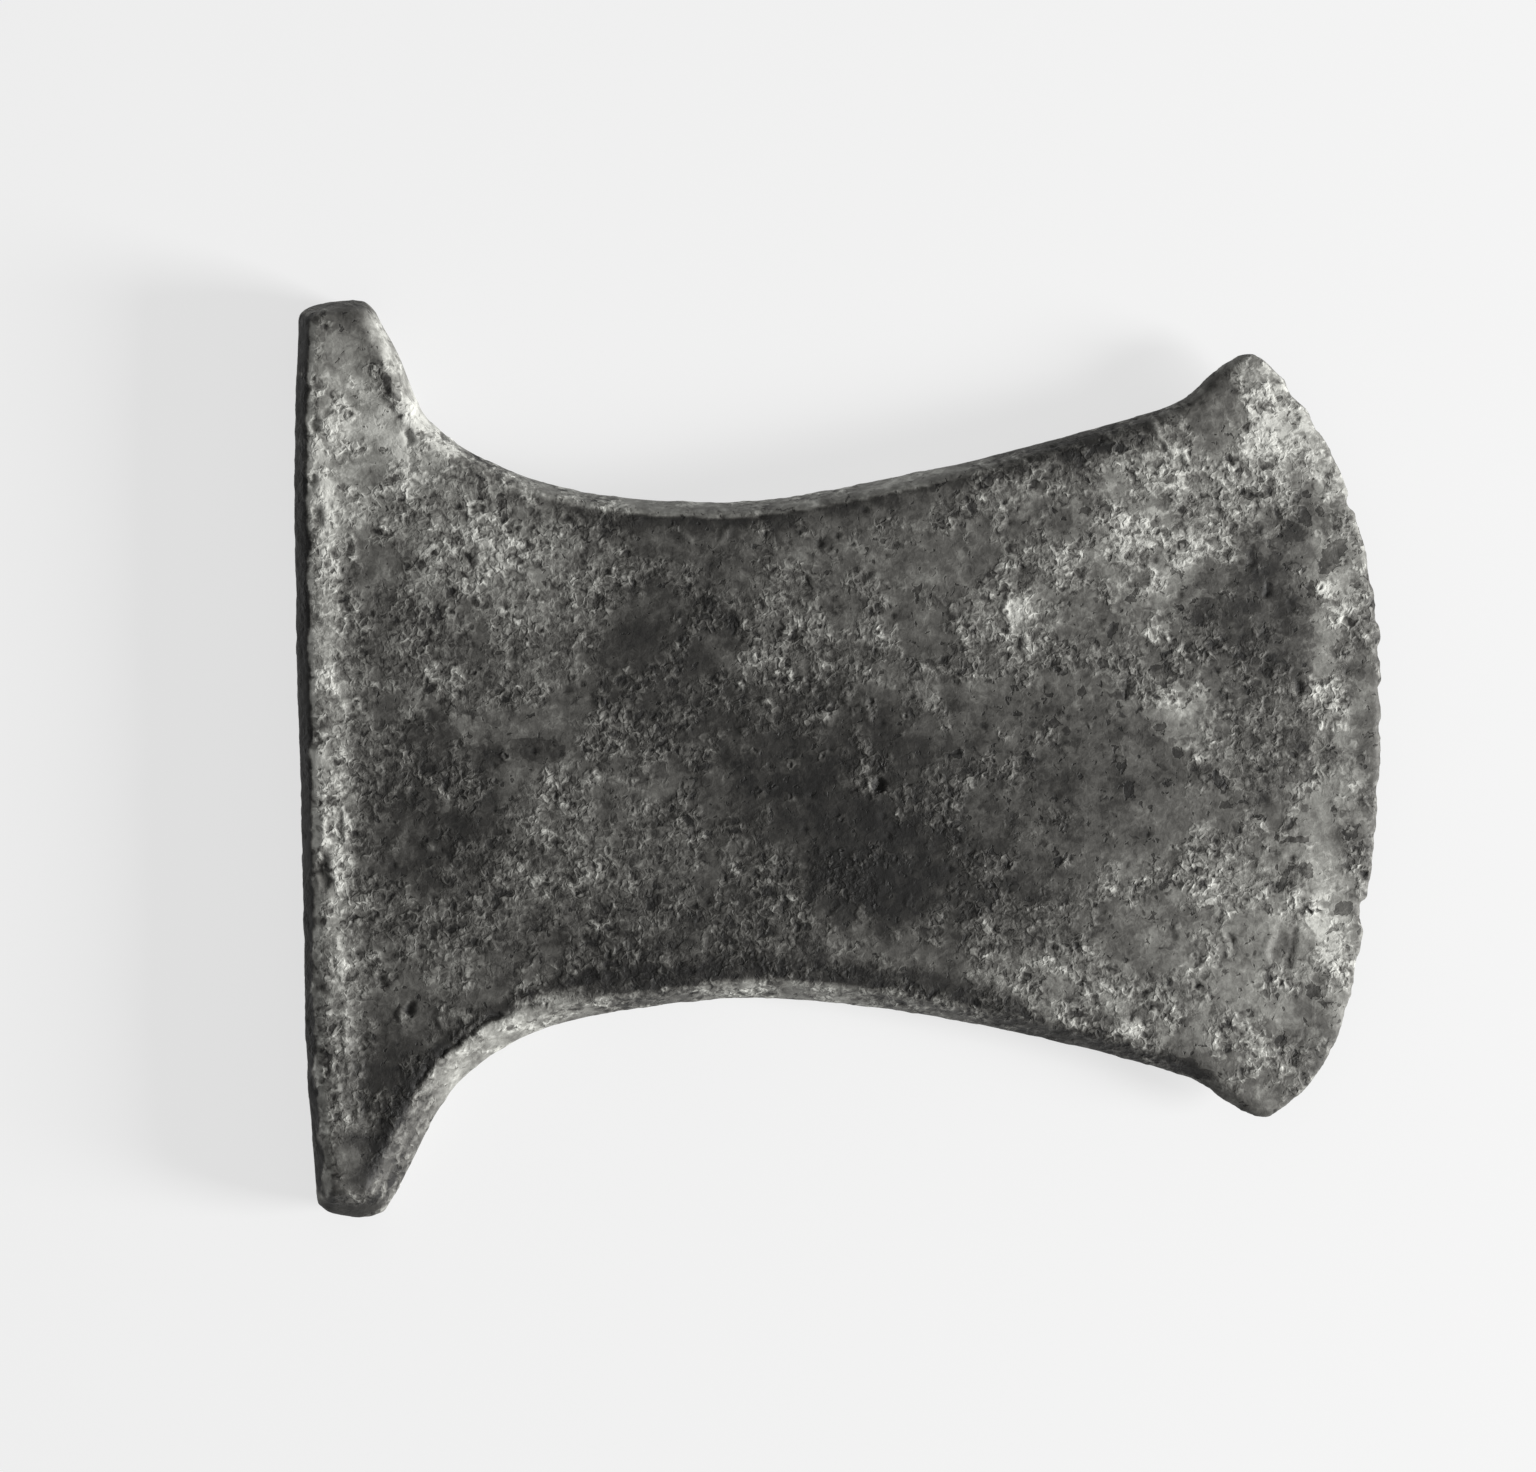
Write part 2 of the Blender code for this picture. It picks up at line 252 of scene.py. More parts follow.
# Small dark spots: the amount is their strength
SPOTS = (
    Mark(49.6, 29.5, 1.0, 0.8, 0, 1.0),
    Mark(51.6, 29.7, 0.9, 0.8, 0, 1.0),
    Mark(56.1, 26.6, 0.7, 1.2, 15, 1.0),
    Mark(57.9, 27.1, 0.5, 0.5, 0, 1.0),
    Mark(56.4, 29.3, 0.5, 0.5, 0, 1.0),
    Mark(59.7, 22.7, 1.2, 1.0, 0, 1.0),
    Mark(58.7, 21.0, 0.9, 1.2, 0, 1.0),
    Mark(62.3, 22.8, 0.7, 1.3, -20, 0.8),
    Mark(56.6, 18.3, 0.9, 1.1, 0, 0.8),
    Mark(48.7, 26.1, 0.4, 0.6, 0, 0.9),
    Mark(47.1, 33.7, 0.5, 0.4, 0, 0.8),
    Mark(29.6, 27.8, 0.6, 0.4, 0, 0.8),
    Mark(30.8, 24.1, 0.6, 0.6, 0, 0.8),
    Mark(35.6, 17.5, 1.1, 0.5, 35, 0.9),
    Mark(32.8, 13.6, 0.5, 1.0, -20, 0.9),
    Mark(26.4, 9.0, 1.0, 0.7, -20, 1.0),
    Mark(31.6, 9.4, 0.7, 0.6, 0, 0.8),
    Mark(38.8, 8.0, 1.6, 1.3, -15, 0.9),
    Mark(25.4, 2.2, 0.7, 0.5, 0, 0.9),
    Mark(28.8, 6.3, 0.5, 0.7, 0, 0.8),
    Mark(38.2, 1.6, 0.7, 0.4, 0, 0.9),
    Mark(40.2, -1.3, 0.7, 0.5, -40, 1.0),
    Mark(33.4, -2.9, 0.7, 0.8, 0, 0.8),
    Mark(34.3, -5.9, 0.6, 1.0, 15, 0.9),
    Mark(45.2, -5.0, 0.6, 1.2, 15, 1.0),
    Mark(45.7, -8.0, 0.7, 0.5, 0, 0.8),
    Mark(50.0, -9.5, 0.7, 0.4, 0, 0.8),
    Mark(54.1, -12.2, 1.4, 0.4, 0, 0.9),
    Mark(60.8, -11.8, 1.2, 0.9, 0, 0.7),
    Mark(55.3, -15.9, 0.8, 0.8, 0, 1.0),
    Mark(52.6, -17.0, 0.5, 1.6, -25, 0.9),
    Mark(50.8, -20.4, 0.5, 0.7, 30, 0.9),
    Mark(59.9, -20.6, 1.0, 0.9, 0, 1.0),
    Mark(42.4, -15.8, 0.6, 0.5, 0, 1.0),
    Mark(38.2, -17.3, 0.8, 0.5, 15, 0.9),
    Mark(56.1, -30.6, 1.1, 0.9, 0, 1.0),
    Mark(51.9, -36.3, 0.8, 0.6, 0, 1.0),
    Mark(12.2, 26.6, 0.7, 0.6, 0, 1.0),
    Mark(15.1, 26.5, 0.6, 0.5, 0, 0.9),
    Mark(16.2, 28.5, 0.4, 0.8, 0, 1.0),
    Mark(9.4, 18.6, 0.6, 0.9, 0, 0.8),
    Mark(14.0, -1.0, 0.7, 0.7, 0, 1.0),
    Mark(-48.0, 17.0, 0.9, 0.6, 0, 1.0),
    Mark(25.5, -14.2, 0.6, 0.8, 0, 0.9),
    Mark(30.4, -34.8, 0.5, 0.5, 0, 0.9),
    Mark(-53.4, 44.5, 0.7, 2.4, 28, 1.0),
    Mark(-49.2, 38.6, 1.2, 0.6, -25, 0.9),
    Mark(-47.0, 38.0, 0.7, 0.7, 0, 0.9),
    Mark(-42.4, 32.1, 0.5, 1.3, 0, 1.0),
    Mark(-40.2, 29.6, 0.6, 1.6, 15, 1.0),
    Mark(-53.2, 33.2, 0.8, 0.5, 20, 0.8),
)

# Holes: the amount is a depth in mm
PITS = (
    Mark(4.5, -4.6, 0.9, 0.9, 0, 0.55),
    Mark(-62.4, -13.5, 0.7, 2.0, 5, 0.40),
    Mark(-52.3, -30.1, 0.6, 0.9, 20, 0.40),
    Mark(-55.4, -26.7, 0.5, 0.9, 30, 0.35),
    Mark(-2.3, 24.6, 0.6, 0.6, 0, 0.30),
    Mark(-51.2, 38.9, 0.5, 0.8, 10, 0.35),
    Mark(-50.8, 37.9, 0.5, 0.5, 0, 0.30),
    Mark(52.4, -25.6, 1.4, 2.0, -12, 0.18),
    Mark(46.2, -24.2, 0.5, 1.2, 20, 0.30),
    Mark(41.9, -28.9, 0.4, 1.2, 30, 0.30),
    Mark(35.2, -30.5, 0.9, 0.5, 0, 0.22),
    Mark(3.3, 20.5, 0.9, 0.5, 35, 0.25),
    Mark(-62.4, 40.0, 0.6, 1.0, 0, 0.40),
    Mark(-62.2, 29.0, 0.7, 1.4, 0, 0.35),
    Mark(-62.6, 33.5, 0.5, 0.8, 0, 0.30),
)

# Lumps of crust: the amount is a height in mm
LUMPS = (
    Mark(-8.8, 5.3, 1.0, 0.4, -30, 0.28),
    Mark(21.6, 16.2, 1.3, 1.7, 15, 0.16),
    Mark(22.3, 11.9, 0.6, 1.2, 20, 0.16),
    Mark(2.4, 5.6, 1.0, 0.5, -10, 0.22),
    Mark(3.2, 4.1, 0.4, 1.1, 20, 0.20),
    Mark(0.8, 5.9, 0.4, 0.9, 10, 0.20),
    Mark(-17.9, 25.5, 0.8, 0.4, -40, 0.22),
    Mark(-13.5, 25.8, 0.4, 1.4, -35, 0.18),
    Mark(-4.5, 9.0, 0.4, 1.2, 0, 0.18),
    Mark(-49.7, -10.7, 0.7, 0.5, 30, 0.24),
    Mark(-52.0, -3.8, 0.5, 0.8, 0, 0.18),
    Mark(-31.3, -8.2, 0.4, 0.4, 0, 0.24),
    Mark(-53.3, -30.6, 0.3, 1.3, -20, 0.26),
    Mark(-48.9, -31.7, 0.4, 0.8, 25, 0.22),
    Mark(33.4, -34.3, 1.7, 1.3, -20, 0.34),
    Mark(50.9, -24.6, 0.6, 2.2, -10, 0.12),
    Mark(45.6, -24.0, 0.4, 1.3, 20, 0.16),
    Mark(32.1, 13.9, 0.6, 0.8, -20, 0.18),
    Mark(3.5, -4.4, 0.4, 0.9, 0, 0.14),
    Mark(-52.6, 43.4, 0.7, 0.9, 0, 0.22),
    Mark(-51.1, 42.2, 0.8, 0.9, 0, 0.24),
    Mark(-62.3, -8.6, 0.45, 2.8, -5, 0.30),
    Mark(-59.8, -8.3, 0.4, 2.6, 5, 0.26),
    Mark(-60.7, -24.0, 0.4, 3.0, 4, 0.18),
    Mark(-60.0, -34.5, 0.5, 4.0, 4, 0.20),
    Mark(-58.8, -42.5, 0.4, 1.6, -12, 0.24),
    Mark(-43.2, 23.8, 0.4, 1.4, 0, 0.16),
)

# Cracks, and crests of broken crust: their routes, half width and depth or height in mm
Route = namedtuple("Route", "points width amount")
CRACKS = (
    Route(((55.3, -34.2), (54.2, -36.4), (52.6, -38.9)), 0.34, 0.22),
    Route(((54.2, -22.6), (53.6, -25.2), (52.8, -27.2)), 0.45, 0.14),
    Route(((51.5, 18.9), (51.3, 17.2)), 0.34, 0.25),
    Route(((49.7, 22.6), (49.7, 21.0), (49.0, 20.4)), 0.34, 0.22),
    Route(((51.8, 24.2), (51.6, 23.0)), 0.30, 0.20),
    Route(((54.9, 7.0), (54.8, 5.0)), 0.34, 0.20),
    Route(((50.8, 11.2), (51.1, 8.6)), 0.34, 0.18),
    Route(((34.4, 7.4), (34.3, 5.2)), 0.34, 0.22),
    Route(((54.1, 20.0), (54.3, 13.0)), 0.26, 0.10),
    Route(((-41.5, -31.0), (-46.3, -33.8), (-48.8, -36.0)), 0.55, 0.40),
    Route(((-50.5, -37.2), (-51.8, -39.4)), 0.50, 0.30),
    Route(((-36.5, -29.3), (-41.0, -31.2)), 0.40, 0.25),
)
CRESTS = (
    Route(((38.5, 38.4), (38.9, 36.2), (40.5, 34.8), (41.6, 34.6), (42.2, 32.8)), 0.50, 0.30),
    Route(((43.6, -25.8), (42.2, -27.6), (40.9, -30.4)), 0.40, 0.16),
    Route(((-30.1, -25.0), (-29.2, -27.2)), 0.30, 0.20),
    Route(((20.4, 17.6), (20.0, 15.2), (20.7, 13.8)), 0.36, 0.18),
)

# Bites out of the outline: the amount is a depth in mm
CHIPS = (
    Mark(62.0, 28.2, 0.9, 0.9, 0, 0.35),
    Mark(62.9, 25.2, 1.2, 1.2, 0, 0.20),
    Mark(64.0, 19.4, 1.2, 1.2, 0, 0.35),
    Mark(64.5, 14.6, 0.9, 0.9, 0, 0.30),
    Mark(64.9, 10.2, 0.8, 0.8, 0, 0.30),
    Mark(65.0, 5.4, 0.9, 0.9, 0, 0.35),
    Mark(65.0, 1.0, 0.9, 0.9, 0, 0.30),
    Mark(64.6, -6.5, 1.0, 1.0, 0, 0.25),
    Mark(62.0, -21.0, 1.5, 1.5, 0, 0.70),
    Mark(60.6, -27.0, 1.2, 1.2, 0, 0.25),
    Mark(57.9, -34.0, 1.1, 1.1, 0, 0.30),
    Mark(55.6, 41.6, 1.6, 1.6, 0, 0.45),
    Mark(57.3, 37.6, 1.0, 1.0, 0, 0.25),
)

# Places with more of the rough crust, or less: the amount shifts the noise that spreads it
ROUGH_AREAS = (
    Mark(-34.0, -14.0, 17, 11, 10, 0.6),
    Mark(-50.0, 14.0, 12, 14, 0, 0.4),
    Mark(-40.0, 24.0, 14, 7, -20, 0.5),
    Mark(-14.0, -22.0, 18, 6, 5, 0.5),
    Mark(-6.0, 8.0, 9, 5, -20, 0.4),
    Mark(24.0, 14.0, 9, 7, 0, 0.4),
    Mark(40.0, 31.0, 14, 6, 20, 0.3),
    Mark(26.0, -30.0, 12, 6, -10, 0.5),
    Mark(-38.0, 0.4, 10, 3, 0, -0.6),
    Mark(-60.0, -12.0, 3.5, 34, 0, 0.5),
    Mark(-56.0, 42.0, 8, 11, 0, -0.2),
    Mark(15.0, 3.5, 9, 5, 0, -0.6),
    Mark(33.0, -8.0, 8, 6, 0, -0.6),
    Mark(35.0, -24.0, 6, 4, 0, -0.7),
    Mark(-8.0, -3.0, 9, 4, 0, -0.4),
    Mark(43.0, 20.0, 8, 4, 30, -0.4),
    Mark(52.0, 12.0, 8, 12, 0, -0.3),
    Mark(-20.0, 13.0, 9, 4, -30, -0.4),
)


def clear_scene():
    for item in list(bpy.data.objects):
        bpy.data.objects.remove(item)


def smooth_step(low, high, values):
    share = np.clip((values - low) / (high - low), 0.0, 1.0)
    return share * share * (3 - 2 * share)


def fade(low, high, values):
    """1 below low and 0 above high."""
    return 1 - smooth_step(low, high, values)


def band(start, full, fading, gone, values):
    """1 from full to fading, and 0 before start and after gone."""
    return smooth_step(start, full, values) * fade(fading, gone, values)


def cloud(places, size, seed, octaves=3):
    """Soft noise from about -1 to 1, with lumps about size mm across."""
    scaled = (places / size + 7.31 * seed).tolist()
    return np.array([noise.fractal(place, 1.0, 2.0, octaves) for place in scaled])


def shifted(places, reach, size, seed, octaves=3):
    """The places moved in plan by up to about reach mm, which gives round marks uneven borders."""
    along = cloud(places, size, seed, octaves)
    aside = cloud(places, size, seed + 1, octaves)
    return places + reach * np.column_stack([along, aside, np.zeros(len(places))])


def grains(places, size, seed):
    """Each place's distance to its nearest grain, in grain sizes, and that grain's number from 0 to 1."""
    scaled = (places / size + 5.23 * seed).tolist()
    found = [noise.voronoi(place) for place in scaled]
    away = np.array([distances[0] for distances, _ in found])
    middles = np.array([tuple(points[0]) for _, points in found])
    scattered = np.sin(middles @ (12.9898, 78.233, 37.719)) * 43758.5453
    return away, scattered - np.floor(scattered)


def mark_weight(mark, places, softness):
    """How strongly a mark shows at each place, from 0 outside to 1 in its middle."""
    turn = math.radians(mark.turn)
    across = places[:, :2] - (mark.x, mark.y)
    along = across @ (math.cos(turn), math.sin(turn))
    aside = across @ (-math.sin(turn), math.cos(turn))
    reach = np.hypot(along / mark.length, aside / mark.width)
    return fade(1 - softness, 1 + softness, reach)


def marks_sum(marks, places, softness):
    """The marks' amounts, each counted as strongly as its mark shows."""
    return sum(mark.amount * mark_weight(mark, places, softness) for mark in marks)


def strongest(marks, places, softness):
    """The amount of the mark that shows most at each place."""
    return np.max([mark.amount * mark_weight(mark, places, softness) for mark in marks], axis=0)


def routes_sum(routes, places):
    """The routes' amounts, full on a route's middle line and none beyond its half width."""
    total = np.zeros(len(places))
    for route in routes:
        away = np.full(len(places), np.inf)
        for start, end in zip(np.array(route.points), np.array(route.points[1:])):
            step = end - start
            from_start = places[:, :2] - start
            along = np.clip(from_start @ step / (step @ step), 0, 1)
            away = np.minimum(away, np.linalg.norm(from_start - along[:, None] * step, axis=1))
        total += route.amount * fade(0.2 * route.width, route.width, away)
    return total


def remeshed(node):
    """The solid as a new object with an even, smoothed fine mesh."""
    bm = bmesh.new()
    bm.from_mesh(node.data)
    bmesh.ops.remove_doubles(bm, verts=bm.verts, dist=0.001 * MM)
    mesh = bpy.data.meshes.new("fine_blade")
    bm.to_mesh(mesh)
    bm.free()
    blade = bpy.data.objects.new("corroded_blade", mesh)
    bpy.context.scene.collection.objects.link(blade)
    remesh = blade.modifiers.new("remesh", "REMESH")
    remesh.mode = "VOXEL"
    remesh.voxel_size = VOXEL
    smooth = blade.modifiers.new("smooth", "SMOOTH")
    smooth.factor = 0.5
    smooth.iterations = SMOOTHING_STEPS
    apply_modifiers(blade)
    return blade


def apply_modifiers(piece):
    graph = bpy.context.evaluated_depsgraph_get()
    made = bpy.data.meshes.new_from_object(piece.evaluated_get(graph))
    piece.modifiers.clear()
    piece.data = made


def read_vectors(items, name):
    found = np.empty(len(items) * 3)
    items.foreach_get(name, found)
    return found.reshape(-1, 3)


def plan_border(places, normals):
    """Each place's distance in plan to the outline in mm, and the outward direction there."""
    rim = np.flatnonzero(np.abs(normals[:, 2]) < 0.5)
    tree = KDTree(len(rim))
    for index, (x, y, _) in zip(rim.tolist(), places[rim].tolist()):
        tree.insert((x, y, 0.0), index)
    tree.balance()
    near = [tree.find((x, y, 0.0)) for x, y, _ in places.tolist()]
    away = np.array([distance for _, _, distance in near])
    outward = normals[[index for _, index, _ in near], :2]
    return away, outward / np.linalg.norm(outward, axis=1)[:, None]


def crust_cover(places):
    """How much of the rough crust is left at each place, from almost none, bare and smooth, to 1."""
    spread = cloud(places, 7.0, 1) + 0.6 * cloud(places, 2.2, 2)
    spread += marks_sum(ROUGH_AREAS, places, ROUGH_SOFTNESS)
    return 0.15 + 0.85 * smooth_step(-0.28, 0.22, spread)


def small_pits(places):
    """How far each place lies in one of the small pits, from 0 outside to 1 at a pit's middle."""
    away, number = grains(places, SMALL_PIT_SPACING, 8)
    return (number > 1 - SMALL_PIT_SHARE) * fade(0.12, 0.38, away)


def relief(places, crust, pits):
    """Height of the corroded surface above the smooth one, in mm."""
    waves = WAVE_HEIGHT * cloud(places, 16.0, 3, 2) + SHORT_WAVE_HEIGHT * cloud(places, 4.5, 4, 2)
    plates = smooth_step(-0.12, 0.16, cloud(places, 2.6, 5, 2))
    plates = plates + 0.7 * smooth_step(-0.1, 0.16, cloud(places, 1.7, 6, 2))
    grain = cloud(places, 1.2, 7, 1)
    crusted = crust * (PLATE_HEIGHT * plates + GRAIN_HEIGHT * grain)
    bare = (1 - crust) * BARE_GRAIN_HEIGHT * grain
    return waves + crusted + bare - SMALL_PIT_DEPTH * pits


def bites(places, away):
    """How far the outline is worn back, in mm: scallops along the cutting edge, and the single chips."""
    edge = smooth_step(52, 58, places[:, 0])
    scallops = SCALLOP_DEPTH * np.maximum(cloud(places, 1.7, 31, 2), -0.2) * edge
    return (scallops + marks_sum(CHIPS, places, CHIP_SOFTNESS)) * fade(0.2, BITE_REACH, away)


def butt_tones(places, away, uneven, facing, upper_side):
    """The butt's border: painted shade in a dark strip on the end face, which faces away from the lamp, a
    little wider towards +Y, and painted light on a pale lip inside it, which offsets the lip's own shade.
    """
    x, y = places[:, 0], places[:, 1]
    butt = smooth_step(0.6, 0.9, facing) * (x < -58)
    inward = uneven - 0.010 * y * fade(36, 42, y)
    # painted shade on the end face, weaker where the face turns down; then painted light on the lip
    painted_shade_strip = butt * fade(0.35, 0.65, inward) * (0.3 + 0.7 * smooth_step(0.45, 0.8, upper_side))
    painted_light_lip = butt * smooth_step(0.55, 0.85, inward) * fade(1.1, 1.6, away)
    return BUTT_END_PAINTED_SHADE * painted_shade_strip + BUTT_LIP_PAINTED_LIGHT * painted_light_lip


def upper_tones(x, away, uneven, facing):
    """The border towards +Y, painted light and shade: painted shade on the lug's end face and a painted
    highlight on its flank, then a painted reflection of the bright floor on the waist's lip and painted shade
    on its dark shoulder.
    """
    upper = smooth_step(0.2, 0.6, facing)
    end_face_painted_shade = upper * fade(-54.5, -53.5, x) * fade(1.8, 2.6, uneven)
    flank_painted_highlight = smooth_step(-0.1, 0.4, facing) * fade(0.8, 1.5, uneven) * band(-57, -55, -48, -42, x)
    painted_light_lip = upper * fade(0.75, 0.95, away) * band(-42, -34, 6, 26, x)
    shoulder_painted_shade = upper * smooth_step(0.85, 1.05, away) * fade(1.4, 2.8 + 1.2 * (x < 15), uneven)
    shoulder_painted_shade = shoulder_painted_shade * band(-40, -15, 30, 42, x) * (1 - 0.4 * smooth_step(-18, -6, x))
    tone = UPPER_END_PAINTED_SHADE * end_face_painted_shade + UPPER_FLANK_PAINTED_HIGHLIGHT * flank_painted_highlight
    return tone + UPPER_LIP_PAINTED_REFLECTION * painted_light_lip + UPPER_SHOULDER_PAINTED_SHADE * shoulder_painted_shade


def lower_tones(x, away, uneven, facing):
    """The border towards -Y, painted light and shade: painted shade on the lug's end face, a painted
    highlight on its lip and painted shade in its crease, then a painted reflection of the bright floor on the
    waist's lip and painted shade on its shoulder and flare.
    """
    lower = smooth_step(0.2, 0.6, facing)
    end_face_painted_shade = lower * fade(-57.5, -56, x) * fade(0.6, 1.2, uneven)
    lug_painted_highlight = smooth_step(-0.1, 0.4, facing) * fade(2.0, 2.9, uneven) * band(-59, -56, -38, -24, x)
    crease_painted_shade = lower * band(2.2, 2.9, 3.2, 4.6, uneven) * band(-58, -54, -34, -24, x)
    painted_light_lip = lower * fade(0.5, 1.0, away) * band(-22, -12, -4, 10, x)
    pinch = 0.3 * band(-34, -26, -22, -14, x)
    shoulder_painted_shade = lower * smooth_step(0.8, 1.2, away + pinch) * fade(2.2, 4.6, uneven)
    shoulder_painted_shade = shoulder_painted_shade * band(-36, -28, 16, 26, x)
    flare_painted_shade = lower * fade(0.6, 1.6, uneven) * band(12, 24, 34, 50, x)
    tone = LOWER_END_PAINTED_SHADE * end_face_painted_shade + LOWER_LUG_PAINTED_HIGHLIGHT * lug_painted_highlight + LOWER_CREASE_PAINTED_SHADE * crease_painted_shade
    return tone + LOWER_LIP_PAINTED_REFLECTION * painted_light_lip + LOWER_SHOULDER_PAINTED_SHADE * shoulder_painted_shade + LOWER_FLARE_PAINTED_SHADE * flare_painted_shade


def side_tones(places, away, outward, upper_side):
    """Painted light and shade along the outline: lips with painted highlights and reflections, and shoulders,
    end faces, creases and flares with painted shade, all paler or darker than the faces.
    """
    uneven = away + (0.35 * cloud(places, 3.0, 21) + 0.2 * cloud(places, 1.4, 22))
    tone = butt_tones(places, away, uneven, -outward[:, 0], upper_side)
    tone += upper_tones(places[:, 0], away, uneven, outward[:, 1])
    return tone + lower_tones(places[:, 0], away, uneven, -outward[:, 1])


def corrode(blade):
    """Works the relief into the fine mesh and keeps on it what the patina's colours depend on."""
    mesh = blade.data
    places = read_vectors(mesh.vertices, "co") / MM
    normals = read_vectors(mesh.vertex_normals, "vector")
    away, outward = plan_border(places, normals)
    upper_side = smooth_step(-0.3, 0.3, normals[:, 2])

    crust = crust_cover(places)
    pits = small_pits(places)
    shaken = shifted(places, 0.5, 1.6, 17, 2)
    holes = marks_sum(PITS, shaken, HOLE_SOFTNESS) + routes_sum(CRACKS, shaken)
    lumps = marks_sum(LUMPS, shaken, LUMP_SOFTNESS) + routes_sum(CRESTS, shaken)
    height = relief(places, crust, pits) + upper_side * (lumps - holes)

    tone = 0.06 * cloud(places, 13.0, 11) + 0.05 * cloud(places, 4.0, 12)
    # painted light and shade along the outline
    tone += side_tones(places, away, outward, upper_side)
    areas = marks_sum(TONES, shifted(places, 1.6, 5.0, 15), TONE_SOFTNESS)
    # tone areas, and the lumps and crests paler, partly pale crust and partly painted highlight
    tone += upper_side * (TONE_STRENGTH * areas + LUMP_PALENESS_AND_PAINTED_HIGHLIGHT * lumps)

    moved = places + normals * height[:, None]
    moved[:, :2] -= outward * bites(places, away)[:, None]
    moved[:, 2] = np.maximum(moved[:, 2], 0.0)
    mesh.vertices.foreach_set("co", (moved * MM).ravel())
    keep_numbers(
        mesh,
        tone=tone,
        crust=crust,
        hollow=np.maximum(pits, upper_side * np.clip(holes / 0.3, 0, 1)),
        pale=upper_side * strongest(PALE_PATCHES, places, PATCH_SOFTNESS),
        blotch=upper_side * strongest(BLOTCHES, places, PATCH_SOFTNESS),
        spot=upper_side * strongest(SPOTS, places, PATCH_SOFTNESS),
    )
    mesh.update()


def keep_numbers(mesh, **fields):
    """Keeps each field on the mesh as a number for every vertex, which the material reads by its name."""
    for name, values in fields.items():
        layer = mesh.attributes.new(name, "FLOAT", "POINT")
        layer.data.foreach_set("value", values.astype(np.float32))


def thin_back(blade):
    """Coarsens the mesh on the back and low on the sides, so that it stays under its triangle limit."""
    mesh = blade.data
    places = read_vectors(mesh.vertices, "co") / MM
    group = blade.vertex_groups.new(name="back")
    normals = read_vectors(mesh.vertex_normals, "vector")
    low = np.flatnonzero((places[:, 2] < BACK_HEIGHT) & (normals[:, 2] < 0.2))
    group.add(low.tolist(), 1.0, "REPLACE")
    triangles = sum(len(face.vertices) - 2 for face in mesh.polygons)
    decimate = blade.modifiers.new("thin", "DECIMATE")
    decimate.ratio = MOST_TRIANGLES / triangles
    decimate.vertex_group = group.name
    decimate.use_collapse_triangulate = True
    apply_modifiers(blade)
    blade.vertex_groups.clear()


class Tree:
    """A material's nodes, made and linked in one call each."""

    def __init__(self, material):
        material.use_nodes = True
        self.nodes = material.node_tree.nodes
        self.links = material.node_tree.links
        self.shader = self.nodes["Principled BSDF"]

    def add(self, kind, inputs=None, **settings):
        node = self.nodes.new(kind)
        for name, value in settings.items():
            setattr(node, name, value)
        for name, value in (inputs or {}).items():
            self.put(node.inputs[name], value)
        return node

    def put(self, socket, value):
        if isinstance(value, bpy.types.NodeSocket):
            self.links.new(value, socket)
        else:
            socket.default_value = value

    def math(self, operation, first, second=0.0):
        return self.add("ShaderNodeMath", {0: first, 1: second}, operation=operation).outputs[0]

    def field(self, name):
        return self.add("ShaderNodeAttribute", attribute_name=name).outputs["Fac"]

    def product(self, first, *others):
        for other in others:
            first = self.math("MULTIPLY", first, other)
        return first

    def centred(self, value):
        """A value from 0 to 1, such as noise, shifted to swing about 0."""
        return self.math("SUBTRACT", value, 0.5)

    def weighted(self, total, features, weights):
        """The total so far plus each weighted feature."""
        for name, weight in weights.items():
            total = self.math("ADD", total, self.math("MULTIPLY", features[name], weight))
        return total

    def noise(self, places, scale, detail, roughness):
        inputs = {"Vector": places, "Scale": scale, "Detail": detail, "Roughness": roughness}
        return self.add("ShaderNodeTexNoise", inputs).outputs["Fac"]

    def step(self, value, low, high):
        inputs = {"Value": value, "From Min": low, "From Max": high}
        return self.add("ShaderNodeMapRange", inputs, interpolation_type="SMOOTHSTEP").outputs[0]

    def ramp(self, value, stops):
        node = self.add("ShaderNodeValToRGB", {"Fac": value})
        elements = node.color_ramp.elements
        elements[0].position, elements[0].color = stops[0]
        elements[1].position, elements[1].color = stops[-1]
        for position, colour in stops[1:-1]:
            elements.new(position).color = colour
        return node.outputs["Color"]


def bent_places(tree, places):
    """The places with a wobble, so that no pattern follows straight or round lines."""
    inputs = {"Vector": places, "Scale": 1.0, "Detail": 1.0}
    wobble = tree.add("ShaderNodeTexNoise", inputs).outputs["Color"]
    wobble = tree.add("ShaderNodeVectorMath", {0: wobble, "Scale": WOBBLE}, operation="SCALE").outputs[0]
    return tree.add("ShaderNodeVectorMath", {0: places, 1: wobble}, operation="ADD").outputs[0]


